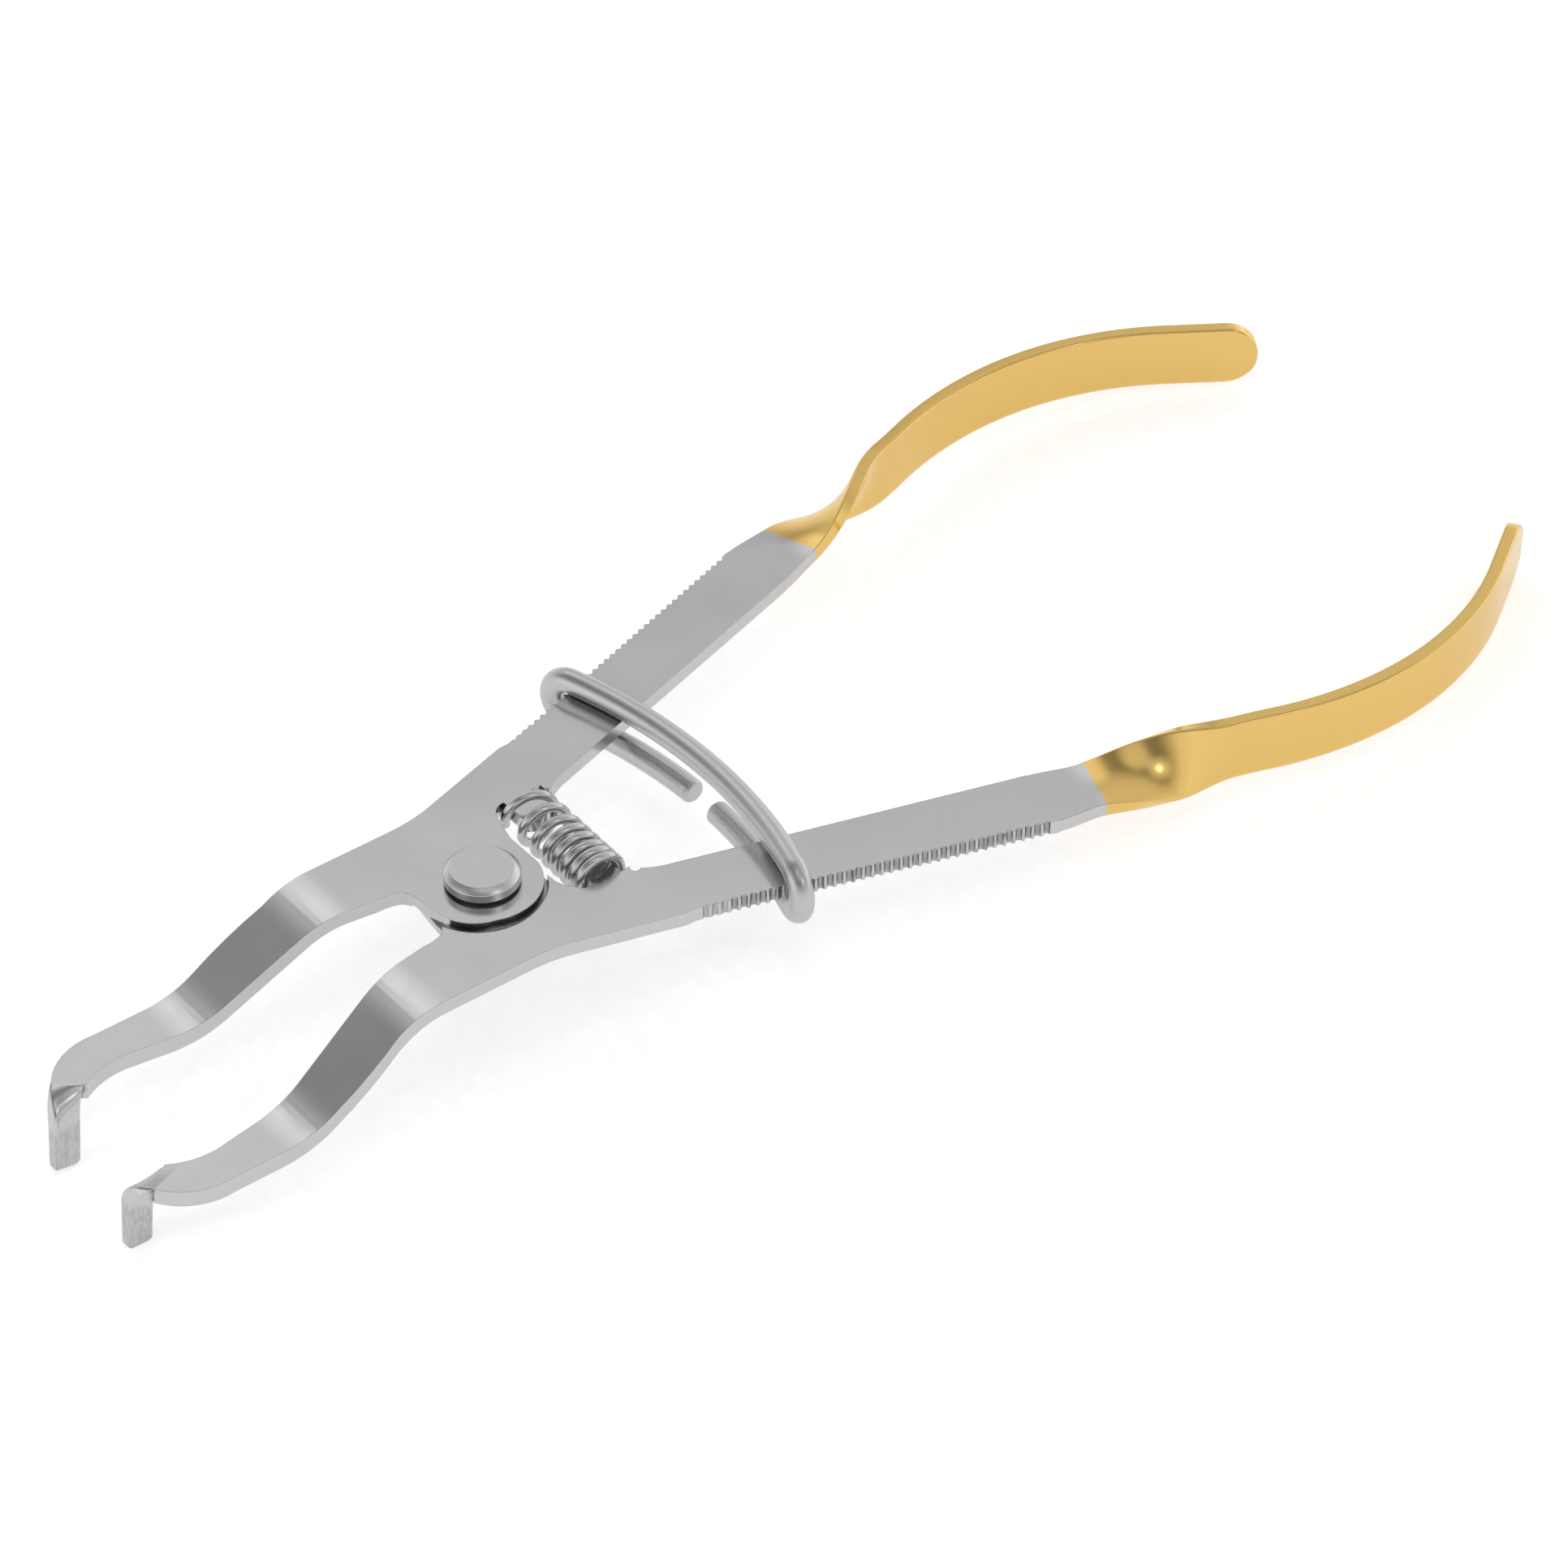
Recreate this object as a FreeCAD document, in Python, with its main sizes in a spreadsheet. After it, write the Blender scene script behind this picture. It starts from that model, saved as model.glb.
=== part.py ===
import FreeCAD, Part
import math
import os
import Sketcher

# Matrix ring forceps: two formed steel arms that do not cross, a rivet, a coil
# spring that pushes the handles apart, and a wire bow that holds them squeezed.
# The origin is on the pivot axis, level with the lower arm's underside. The
# handles point along +X, the upper arm lies on the +Y side, and +Z is up.

Vector = FreeCAD.Vector
Rotation = FreeCAD.Rotation
Placement = FreeCAD.Placement

SIZES = {
    # plates and lap joint
    "plate": 1.6,
    "lap_step": 0.6,
    "lap_floor": 0.8,
    "run_clearance": 0.05,
    "boss_radius": 6.3,
    "boss_flat": 6.2,
    "lap_play": 0.45,
    "relief_radius": 6.8,
    "relief_back": 0.6,
    "relief_side": 0.25,
    # rivet
    "pin_radius": 2.0,
    "collar_radius": 3.0,
    "collar_height": 0.37,
    "head_radius": 4.0,
    "head_wall": 0.94,
    "head_chamfer_height": 0.57,
    "head_chamfer_width": 0.68,
    "tail_flare": 0.5,
    # jaws
    "jaw_reach": 49.2,
    "jaw_outer": 12.8,
    "jaw_waist": 12.15,
    "jaw_waist_front": 25.0,
    "jaw_waist_back": 19.0,
    "shoulder_front": 3.5,
    "shoulder_back": 1.5,
    "shoulder_rise": 0.5,
    "jaw_root_inner": 4.05,
    "jaw_root_reach": 10.2,
    "jaw_end_inner": 8.15,
    "jaw_end_length": 11.7,
    "jaw_corner_length": 9.7,
    "jaw_level_plate": 1.9,
    "bend_reach": 16.3,
    "bend_angle": 31.0,
    "bend_drop": 8.4,
    "bend_radius": 6.0,
    # jaw tips: the fold's line runs from its front end to its back end
    "tip_drop": 16.75,
    "tip_inner": 5.6,
    "tip_front_inner": 6.1,
    "tip_front_outer": 7.3,
    "tip_depth": 2.9,
    "tip_back_outer": 7.5,
    "tip_shoulder": 8.6,
    "tip_corner": 0.3,
    "fold_front": 2.35,
    "fold_front_side": 9.25,
    "fold_back": 5.15,
    "fold_back_side": 7.0,
    "fold_roll": 1.1,
    "fold_drop": 3.3,
    "toe_round": 0.5,
    "heel_round": 0.9,
    # toothed shanks
    "tooth_angle": 17.43,
    "tooth_line": 11.04,
    "tooth_start": 15.5,
    "tooth_pitch": 1.04,
    "tooth_count": 37,
    "tooth_radius": 0.38,
    "tooth_depth": 0.33,
    "shallow_teeth": 3,
    "shallow_depth": 0.18,
    "shank_angle": 17.04,
    "shank_inner": 3.77,
    "shank_blend_back": 17.4,
    "rack_blend_front": 13.8,
    "rack_blend_lift": 0.35,
    "rack_margin": 0.5,
    "rack_end": 52.6,
    # spring seats
    "seat_centre": 10.75,
    "lower_seat_depth": 6.9,
    "upper_seat_depth": 8.75,
    "seat_width": 7.0,
    "seat_corner": 1.0,
    "peg_width": 3.5,
    "peg_tip": 4.35,
    "peg_crown": 0.9,
    # handles
    "handle_width": 8.0,
    "twist_width": 6.9,
    "blade_width": 7.55,
    "handle_root": 54.0,
    "handle_root_side": 24.37,
    "handle_lift": 0.27,
    "handle_angle": 14.3,
    "handle_straight": 20.0,
    "rise_radius": 63.0,
    "rise_angle": 5.7,
    "crown_radius": 42.4,
    "drop_radius": 38.1,
    "drop_angle": 34.0,
    "tail_straight": 10.3,
    "twist_start": 4.0,
    "twist_length": 18.5,
    "waist_length": 6.0,
    "waist_end": 10.0,
    "blade_start": 18.0,
    "shank_edge_round": 0.12,
    "upper_edge_round": 0.3,
    "lower_edge_round": 0.72,
    # spring
    "wire": 1.05,
    "coil_radius": 2.53,
    "coil_start": -5.9,
    "coil_start_angle": 60.0,
    "close_turns": 2.2,
    "close_pitch": 1.12,
    "middle_turns": 3.0,
    "middle_pitch": 1.55,
    "open_turns": 2.1,
    "open_pitch": 2.25,
    "end_turns": 0.45,
    "end_pitch": 4.2,
    # bow
    "bow_wire": 2.7,
    "bow_clearance": 0.15,
    "bow_grip": 0.1,
    "bow_station": 25.3,
    "bow_gap_upper": 1.4,
    "bow_gap_lower": 2.2,
    "bow_end_round": 0.5,
}

doc = FreeCAD.newDocument("ring_forceps")
sheet = doc.addObject("Spreadsheet::Sheet", "sizes")
for row, (alias, number) in enumerate(SIZES.items(), start=1):
    sheet.set("A%d" % row, alias)
    sheet.set("B%d" % row, str(number))
    sheet.setAlias("B%d" % row, alias)
doc.recompute()


def size(alias):
    return float(getattr(sheet, alias))


def origin_plane(body, role):
    return next(f for f in body.Origin.OriginFeatures if f.Role == role)


def new_sketch(body, name, role="XY_Plane", frame=None):
    """A sketch on one of the body's own planes; frame is its wanted place in the body."""
    sketch = body.newObject("Sketcher::SketchObject", name)
    plane = origin_plane(body, role)
    sketch.AttachmentSupport = [(plane, "")]
    sketch.MapMode = "FlatFace"
    if frame is not None:
        doc.recompute()
        sketch.AttachmentOffset = plane.Placement.inverse().multiply(frame)
    return sketch


def draw(sketch, start, steps):
    """A closed outline: a step with one point is a line, with two an arc through the first."""
    here = start
    for step in steps:
        end = step[-1]
        a = Vector(here[0], here[1], 0)
        b = Vector(end[0], end[1], 0)
        if len(step) == 1:
            sketch.addGeometry(Part.LineSegment(a, b), False)
        else:
            through = Vector(step[0][0], step[0][1], 0)
            sketch.addGeometry(Part.Arc(a, through, b), False)
        here = end


def draw_circle(sketch, centre, radius_formula, radius):
    middle = Vector(centre[0], centre[1], 0)
    index = sketch.addGeometry(Part.Circle(middle, Vector(0, 0, 1), radius), False)
    rule = sketch.addConstraint(Sketcher.Constraint("Radius", index, radius))
    sketch.setExpression("Constraints[%d]" % rule, radius_formula)


def draw_bar(sketch, half_width, half_height, inner_round, outer_round):
    """A flat bar's section with rounded corners, its outer edge on the +X side."""
    w, t, a, b = half_width, half_height, inner_round, outer_round
    k = 1 - math.sqrt(0.5)
    draw(
        sketch,
        (-w + a, -t),
        [
            [(w - b, -t)],
            [(w - b * k, -t + b * k), (w, -t + b)],
            [(w, t - b)],
            [(w - b * k, t - b * k), (w - b, t)],
            [(-w + a, t)],
            [(-w + a * k, t - a * k), (-w, t - a)],
            [(-w, -t + a)],
            [(-w + a * k, -t + a * k), (-w + a, -t)],
        ],
    )


def pad(body, sketch, name, length_formula, both_ways=False, reverse=False):
    feature = body.newObject("PartDesign::Pad", name)
    feature.Profile = sketch
    feature.setExpression("Length", length_formula)
    feature.Midplane = both_ways
    feature.Reversed = reverse
    return feature


def pocket(body, sketch, name, length_formula, both_ways=False, reverse=False):
    """A pocket that has to take material away."""
    doc.recompute()
    before = body.Shape.Volume
    feature = body.newObject("PartDesign::Pocket", name)
    feature.Profile = sketch
    feature.setExpression("Length", length_formula)
    feature.Midplane = both_ways
    feature.Reversed = reverse
    doc.recompute()
    if not body.Shape.Volume < before - 1e-6:
        raise ValueError("%s cuts nothing" % name)
    return feature


def rotated(x, y, degrees):
    c = math.cos(math.radians(degrees))
    s = math.sin(math.radians(degrees))
    return x * c - y * s, x * s + y * c


# Arm outline. Every point is for the arm on the +Y side; side = -1 mirrors it.
def tooth_edge(x):
    """The toothed edge's distance from the mid line at x."""
    angle = math.radians(size("tooth_angle"))
    return (size("tooth_line") + x * math.sin(angle)) / math.cos(angle)


def shank_edge(x):
    """The inner shank edge's distance from the mid line at x."""
    return size("shank_inner") + x * math.tan(math.radians(size("shank_angle")))


def handle_root_corner(direction):
    """The outer (+1) or inner (-1) corner where the flat shank meets the twisted handle."""
    angle = math.radians(size("handle_angle"))
    half = direction * size("handle_width") / 2
    return (
        size("handle_root") - half * math.sin(angle),
        size("handle_root_side") + half * math.cos(angle),
    )


def fold_line():
    """Where the jaw's level top ends and its tip folds down, front end and back end."""
    reach = size("jaw_reach")
    return (
        (-reach + size("fold_front"), size("fold_front_side")),
        (-reach + size("fold_back"), size("fold_back_side")),
    )


def arm_outline(side, seat_depth):
    reach = size("jaw_reach")
    outer = size("jaw_outer")
    waist = size("jaw_waist")
    boss = size("boss_radius")
    flat = size("boss_flat")
    turn = math.sqrt(boss**2 - flat**2)
    fold_front, fold_back = fold_line()
    waist_front = size("jaw_waist_front")
    waist_back = size("jaw_waist_back")
    shoulder_front = size("shoulder_front")
    shoulder_back = size("shoulder_back")
    rise = size("shoulder_rise")
    blend = size("rack_blend_front")
    rack_start = size("tooth_start") - size("rack_margin")
    rack_end = size("rack_end")
    shank = size("shank_blend_back")
    seat_left = size("seat_centre") - size("seat_width") / 2
    seat_right = size("seat_centre") + size("seat_width") / 2
    corner = size("seat_corner")
    root_x = -size("jaw_root_reach")
    root_y = size("jaw_root_inner")
    steps = [
        # outer side, from the tip to the handle
        [(-reach + 5.0, outer - 0.95), (-reach + size("jaw_corner_length"), outer)],
        [(-waist_front, outer)],
        [(-(waist_front + waist_back) / 2, (outer + waist) / 2 + 0.12), (-waist_back, waist)],
        [(-shoulder_front, waist)],
        [((shoulder_back - shoulder_front) / 2, waist + 0.2 * rise), (shoulder_back, waist + rise)],
        [(blend, tooth_edge(blend) + size("rack_blend_lift"))],
        [(rack_start, tooth_edge(rack_start))],
        [(rack_end, tooth_edge(rack_end))],
        [handle_root_corner(1)],
        # inner side, back past the spring's seat
        [handle_root_corner(-1)],
        [(shank, shank_edge(shank))],
        [
            (shank - 1.8, shank_edge(shank - 1.8) - 0.1),
            (seat_right + 0.1, shank_edge(seat_right) - 0.45),
        ],
        [(seat_right - 0.35, shank_edge(seat_right) - 0.3), (seat_right - 0.55, seat_depth - 0.1)],
        [(seat_right - 1.4, seat_depth)],
        [(seat_left + corner + 0.4, seat_depth)],
        [(seat_left + 0.45, seat_depth - 0.45), (seat_left, seat_depth - 0.55 * corner - 0.6)],
        # boss round the rivet
        [(flat + 0.2, 0.73 * boss), (flat, 0.57 * boss)],
        [(flat, -turn)],
        [(0.6 * boss, -0.8 * boss), (-0.41 * boss, -math.sqrt(1 - 0.41**2) * boss)],
        [(-0.81 * boss, -0.69 * boss), (-1.02 * boss, -0.27 * boss)],
        [(-1.09 * boss, 0.25 * boss)],
        # throat and the inner side of the jaw
        [(root_x + 3.22, root_y - 1.35), (root_x + 2.6, root_y - 0.5)],
        [(root_x + 1.5, root_y - 0.12), (root_x, root_y)],
        [(-reach + size("jaw_end_length"), size("jaw_end_inner"))],
        [(-reach + 8.2, size("jaw_end_inner") + 0.05), fold_back],
        [fold_front],
    ]
    mirrored = [[(x, side * y) for x, y in step] for step in steps]
    return (fold_front[0], side * fold_front[1]), mirrored


def side_profile(offset, level_extra):
    """The arm seen from the side, plate top (offset 0) or underside, from shank to tip."""
    angle = math.radians(size("bend_angle"))
    radius_up = size("bend_radius") - offset
    radius_down = size("bend_radius") + offset
    top = size("plate") - offset
    half = math.tan(angle / 2)
    upper = (-size("bend_reach") + offset * half, top)
    drop = size("bend_drop") + level_extra
    lower = (upper[0] - drop / math.tan(angle), top - drop)

    def bend(vertex, radius, before, after):
        reach = radius * half
        a = (vertex[0] + reach * before[0], vertex[1] + reach * before[1])
        b = (vertex[0] + reach * after[0], vertex[1] + reach * after[1])
        sag = radius / math.cos(angle / 2) - radius
        towards = ((a[0] + b[0]) / 2 - vertex[0], (a[1] + b[1]) / 2 - vertex[1])
        span = math.hypot(*towards)
        middle = (vertex[0] + towards[0] / span * sag, vertex[1] + towards[1] / span * sag)
        return a, middle, b

    flat = (1, 0)
    slope_up = (math.cos(angle), math.sin(angle))
    slope_down = (-slope_up[0], -slope_up[1])
    first = bend(upper, radius_up, flat, slope_down)
    second = bend(lower, radius_down, slope_up, (-1, 0))
    return first, second


def handle_stations():
    """Centre, heading and distance along the handle's path, from the shank to the end."""
    x = size("handle_root")
    y = size("handle_root_side")
    heading = math.radians(size("handle_angle"))
    along = 0.0
    stations = [(x, y, heading, along)]
    crown_turn = size("handle_angle") + size("rise_angle")
    runs = [
        (size("handle_straight"), 0.0, 14),
        (size("rise_radius") * math.radians(size("rise_angle")), size("rise_angle"), 3),
        (size("crown_radius") * math.radians(crown_turn), -crown_turn, 5),
        (size("drop_radius") * math.radians(size("drop_angle")), -size("drop_angle"), 5),
        (size("tail_straight"), 0.0, 2),
    ]
    for length, turn, parts in runs:
        for _ in range(parts):
            step = length / parts
            swing = math.radians(turn) / parts
            chord = step if swing == 0 else 2 * step / swing * math.sin(swing / 2)
            x += chord * math.cos(heading + swing / 2)
            y += chord * math.sin(heading + swing / 2)
            heading += swing
            along += step
            stations.append((x, y, heading, along))
    return stations


def smooth(share):
    share = min(max(share, 0.0), 1.0)
    return share * share * (3 - 2 * share)


def between(first, second, share):
    return first + (second - first) * share


def handle_width(along):
    """The bar is drawn narrower where it is twisted."""
    narrowed = smooth(along / size("waist_length"))
    regained = smooth((along - size("waist_end")) / (size("blade_start") - size("waist_end")))
    width = between(size("handle_width"), size("twist_width"), narrowed)
    return width + (size("blade_width") - size("twist_width")) * regained


def handle_frame(side, station):
    """The section's place: local X to the outer edge, local Y through the plate."""
    x, y, heading, along = station
    turn = smooth((along - size("twist_start")) / size("twist_length"))
    twist = math.radians(90) * turn
    out = Vector(-math.sin(heading), side * math.cos(heading), 0)
    up = Vector(0, 0, 1)
    across = out * math.cos(twist) - up * math.sin(twist)
    through = up * math.cos(twist) + out * math.sin(twist)
    centre = Vector(x, side * y, size("plate") / 2 + size("handle_lift") * turn)
    return Placement(centre, Rotation(across, through, across.cross(through), "XYZ")), turn


def make_arm(name, side, seat_depth, height):
    body = doc.addObject("PartDesign::Body", name)
    body.Label = name
    doc.recompute()

    # flat blank, as tall as the whole arm
    blank_sketch = new_sketch(
        body, name + "_outline", "XY_Plane", Placement(Vector(0, 0, size("plate")), Rotation())
    )
    start, steps = arm_outline(side, seat_depth)
    draw(blank_sketch, start, steps)
    pad(body, blank_sketch, name + "_blank", "sizes.bend_drop + sizes.jaw_level_plate", False, True)

    # formed side profile: what is above the plate's top and below its underside goes
    room = 12.0
    far = size("jaw_reach") + 5
    near = size("handle_root") + 5
    for part, offset, extra, edge in (
        ("over", 0.0, 0.0, size("plate") + room),
        ("under", size("plate"), size("jaw_level_plate") - size("plate"), -size("tip_drop") - room),
    ):
        first, second = side_profile(offset, extra)
        sketch = new_sketch(body, "%s_%s" % (name, part), "XZ_Plane")
        draw(
            sketch,
            (near, first[0][1]),
            [
                [first[0]],
                [first[1], first[2]],
                [second[0]],
                [second[1], second[2]],
                [(-far, second[2][1])],
                [(-far, edge)],
                [(near, edge)],
                [(near, first[0][1])],
            ],
        )
        pocket(body, sketch, "%s_%s_cut" % (name, part), "sizes.jaw_reach * 2", True)

    # jaw tip folded down along a slanting line, rolled over it, then narrowing to the ground end
    reach = size("jaw_reach")
    back = reach - size("tip_depth")
    level = size("plate") - size("bend_drop")
    fold_front, fold_back = fold_line()
    shoulder = size("tip_shoulder")
    inner = size("tip_inner")
    front_inner = size("tip_front_inner")
    front_outer = size("tip_front_outer")
    # corners in turn: front inner, front outer, back outer, back inner
    fold = [
        fold_front,
        (fold_front[0] + 0.15, fold_front[1] + 0.35),
        (fold_back[0] + 0.6, fold_front[1] + 0.35),
        fold_back,
    ]
    roll = [
        (-reach + 0.85, front_inner + 0.45),
        (-reach + 1.15, shoulder - 0.4),
        (-back + 0.1, shoulder + 0.7),
        (-back + 1.55, inner + 1.0),
    ]
    neck = [
        (-reach + 0.45, front_inner - 0.35),
        (-reach + 0.6, front_outer + 0.2),
        (-back - 0.4, shoulder),
        (-back + 1.0, inner + 0.7),
    ]
    foot = [
        (-reach, front_inner),
        (-reach + 0.2, front_outer + 0.1),
        (-back, size("tip_back_outer")),
        (-back + 0.1, inner),
    ]
    sections = []
    for part, corners, z in (
        ("fold", fold, level),
        ("roll", roll, level - size("fold_roll")),
        ("neck", neck, level - size("fold_drop")),
        ("foot", foot, size("plate") - size("tip_drop")),
    ):
        frame = Placement(Vector(0, 0, z), Rotation())
        sketch = new_sketch(body, "%s_tip_%s" % (name, part), "XY_Plane", frame)
        draw_rounded(sketch, [(x, side * y) for x, y in corners], size("tip_corner"))
        sections.append(sketch)
    for part, chosen, straight in (("fold", sections[:3], False), ("leg", sections[2:], True)):
        loft = body.newObject("PartDesign::AdditiveLoft", "%s_tip_%s_loft" % (name, part))
        loft.Profile = chosen[0]
        loft.Sections = chosen[1:]
        loft.Ruled = straight
        doc.recompute()

    # the leg's ground end is rounded to the front and to the back
    end = size("plate") - size("tip_drop")
    for part, x, inward in (("toe", -reach, 1), ("heel", -back + 0.1, -1)):
        round_off = size(part + "_round")
        corner = round_off * (1 - math.sqrt(0.5))
        sketch = new_sketch(body, "%s_%s_outline" % (name, part), "XZ_Plane")
        draw(
            sketch,
            (x, end + round_off),
            [
                [(x + inward * corner, end + corner), (x + inward * round_off, end)],
                [(x + inward * round_off, end - 1)],
                [(x - inward, end - 1)],
                [(x - inward, end + round_off)],
                [(x, end + round_off)],
            ],
        )
        pocket(body, sketch, "%s_%s_round" % (name, part), "sizes.jaw_reach", True)

    # twisted handle
    sections = []
    for index, station in enumerate(handle_stations()):
        frame, turn = handle_frame(side, station)
        sketch = new_sketch(body, "%s_handle_%02d" % (name, index), "XY_Plane", frame)
        draw_bar(
            sketch,
            handle_width(station[3]) / 2,
            size("plate") / 2,
            between(size("shank_edge_round"), size("upper_edge_round"), turn),
            between(size("shank_edge_round"), size("lower_edge_round"), turn),
        )
        sections.append(sketch)
    handle = body.newObject("PartDesign::AdditiveLoft", name + "_handle")
    handle.Profile = sections[0]
    handle.Sections = sections[1:]
    doc.recompute()

    # round end of the handle blade
    last = handle_stations()[-1]
    run = Vector(math.cos(last[2]), side * math.sin(last[2]), 0)
    up = Vector(0, 0, 1)
    half = size("blade_width") / 2
    centre_height = size("plate") / 2 + size("handle_lift")
    centre = Vector(last[0], side * last[1], centre_height) - run * half
    frame = Placement(centre, Rotation(run, up, run.cross(up), "XYZ"))
    sketch = new_sketch(body, name + "_end", "XY_Plane", frame)
    draw(
        sketch,
        (0, half),
        [
            [(half, 0), (0, -half)],
            [(0, -half - 1)],
            [(half + 1, -half - 1)],
            [(half + 1, half + 1)],
            [(0, half + 1)],
            [(0, half)],
        ],
    )
    pocket(body, sketch, name + "_end_cut", "sizes.plate * 4", True)

    # locking teeth along the outer edge, the first few shallower
    angle = size("tooth_angle")
    shallow = int(size("shallow_teeth"))
    for part, first_tooth, count, depth in (
        ("entry", 0, "sizes.shallow_teeth", "shallow_depth"),
        ("rack", shallow, "sizes.tooth_count - sizes.shallow_teeth", "tooth_depth"),
    ):
        x, y = rotated(
            size("tooth_start") / math.cos(math.radians(angle))
            + size("tooth_line") * math.tan(math.radians(angle))
            + size("tooth_pitch") * (first_tooth + 0.5),
            size("tooth_line"),
            angle,
        )
        frame = Placement(Vector(x, side * y, size("plate")), Rotation(Vector(0, 0, 1), side * angle))
        sketch = new_sketch(body, "%s_%s_tooth" % (name, part), "XY_Plane", frame)
        lift = size("tooth_radius") - size(depth)
        draw_circle(sketch, (0, side * lift), "sizes.tooth_radius", size("tooth_radius"))
        cut = pocket(body, sketch, "%s_%s_cut" % (name, part), "sizes.plate")
        pattern = body.newObject("PartDesign::LinearPattern", "%s_%s" % (name, part))
        pattern.Originals = [cut]
        pattern.Direction = (sketch, ["H_Axis"])
        pattern.setExpression("Occurrences", count)
        pattern.setExpression("Length", "sizes.tooth_pitch * (%s - 1)" % count)
        body.Tip = pattern
        doc.recompute()

    # half lap: the lower arm is recessed from above, the upper arm from below
    if side < 0:
        lap_height = size("plate")
        lap_depth = "sizes.plate - sizes.lap_floor"
    else:
        lap_height = 0.0
        lap_depth = "sizes.lap_floor + sizes.run_clearance - sizes.lap_step"
    for part, centre, formula, radius in (
        ("lap", (0, 0), "sizes.boss_radius + sizes.lap_play", size("boss_radius") + size("lap_play")),
        (
            "relief",
            (-size("relief_back"), side * size("relief_side")),
            "sizes.relief_radius",
            size("relief_radius"),
        ),
    ):
        frame = Placement(Vector(0, 0, lap_height), Rotation())
        sketch = new_sketch(body, "%s_%s" % (name, part), "XY_Plane", frame)
        draw_circle(sketch, centre, formula, radius)
        pocket(body, sketch, "%s_%s_cut" % (name, part), lap_depth, False, side > 0)

    # pivot hole, flared underneath in the lower arm for the rivet's tail
    frame = Placement(Vector(0, 0, size("plate")), Rotation())
    sketch = new_sketch(body, name + "_hole", "XY_Plane", frame)
    hole_formula = "sizes.pin_radius + sizes.run_clearance"
    draw_circle(sketch, (0, 0), hole_formula, size("pin_radius") + size("run_clearance"))
    hole = pocket(body, sketch, name + "_hole_cut", "sizes.plate")
    if side < 0:
        rim = find_edge(hole.Shape, lambda e: is_circle(e, size("pin_radius") + size("run_clearance"), 0))
        flare = body.newObject("PartDesign::Chamfer", name + "_flare")
        flare.Base = (hole, [rim])
        flare.setExpression("Size", "sizes.tail_flare")
        doc.recompute()

    # peg that holds the end of the spring
    frame = Placement(Vector(0, 0, size("plate")), Rotation())
    sketch = new_sketch(body, name + "_peg_outline", "XY_Plane", frame)
    middle = size("seat_centre")
    half = size("peg_width") / 2
    tip_y = size("peg_tip")
    crown = size("peg_crown")
    draw(
        sketch,
        (middle - half, side * (seat_depth + 1)),
        [
            [(middle - half, side * (tip_y + crown))],
            [(middle, side * tip_y), (middle + half, side * (tip_y + crown))],
            [(middle + half, side * (seat_depth + 1))],
            [(middle - half, side * (seat_depth + 1))],
        ],
    )
    pad(body, sketch, name + "_peg", "sizes.plate", False, True)
    doc.recompute()
    body.Placement = Placement(Vector(0, 0, height), Rotation())
    return body


def draw_rounded(sketch, corners, radius):
    """A closed four-sided outline with its corners rounded."""
    count = len(corners)
    rounded = []
    for index, corner in enumerate(corners):
        before = corners[index - 1]
        after = corners[(index + 1) % count]
        to_before = unit(corner, before)
        to_after = unit(corner, after)
        cosine = to_before[0] * to_after[0] + to_before[1] * to_after[1]
        half = math.acos(cosine) / 2
        reach = radius / math.tan(half)
        a = (corner[0] + to_before[0] * reach, corner[1] + to_before[1] * reach)
        b = (corner[0] + to_after[0] * reach, corner[1] + to_after[1] * reach)
        bisector = unit((0, 0), (to_before[0] + to_after[0], to_before[1] + to_after[1]))
        sag = radius / math.sin(half) - radius
        middle = (corner[0] + bisector[0] * sag, corner[1] + bisector[1] * sag)
        rounded.append((a, middle, b))
    steps = []
    for index, (a, middle, b) in enumerate(rounded):
        steps.append([middle, b])
        steps.append([rounded[(index + 1) % count][0]])
    draw(sketch, rounded[0][0], steps)


def unit(a, b):
    length = math.hypot(b[0] - a[0], b[1] - a[1])
    return (b[0] - a[0]) / length, (b[1] - a[1]) / length


def is_circle(edge, radius, z):
    curve = edge.Curve
    if not isinstance(curve, Part.Circle):
        return False
    return abs(curve.Radius - radius) < 1e-4 and abs(curve.Center.z - z) < 1e-4


def find_edge(shape, test):
    for index, edge in enumerate(shape.Edges, start=1):
        if test(edge):
            return "Edge%d" % index
    raise ValueError("no such edge")


# Rivet: head, collar that keeps the head off the plate, shank and flared tail.
def make_pin():
    body = doc.addObject("PartDesign::Body", "pivot_pin")
    body.Label = "pivot_pin"
    doc.recompute()
    sketch = new_sketch(body, "pin_profile", "XZ_Plane")
    radius = size("pin_radius")
    play = size("run_clearance")
    seat = size("plate") + size("lap_step") + play
    under = seat + size("collar_height") - play
    wall = under + size("head_wall")
    top = wall + size("head_chamfer_height")
    head = size("head_radius")
    crown = head - size("head_chamfer_width")
    flare = size("tail_flare")
    draw(
        sketch,
        (0, 0),
        [
            [(radius + flare - play, 0)],
            [(radius, flare)],
            [(radius, seat)],
            [(size("collar_radius"), seat)],
            [(size("collar_radius"), under)],
            [(head, under)],
            [(head, wall)],
            [(crown, top)],
            [(0, top)],
            [(0, 0)],
        ],
    )
    turn = body.newObject("PartDesign::Revolution", "pin_turned")
    turn.Profile = sketch
    turn.ReferenceAxis = (sketch, ["V_Axis"])
    turn.Angle = 360
    doc.recompute()
    return body


# Coil spring between the two pegs: close coils at the lower arm, open at the upper.
def coil_rise(turn):
    """How far along its axis the spring has come after so many turns."""
    rise = 0.0
    for run in ("close", "middle", "open", "end"):
        share = min(max(turn, 0.0), size(run + "_turns"))
        rise += share * size(run + "_pitch")
        turn -= size(run + "_turns")
    return rise


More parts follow.
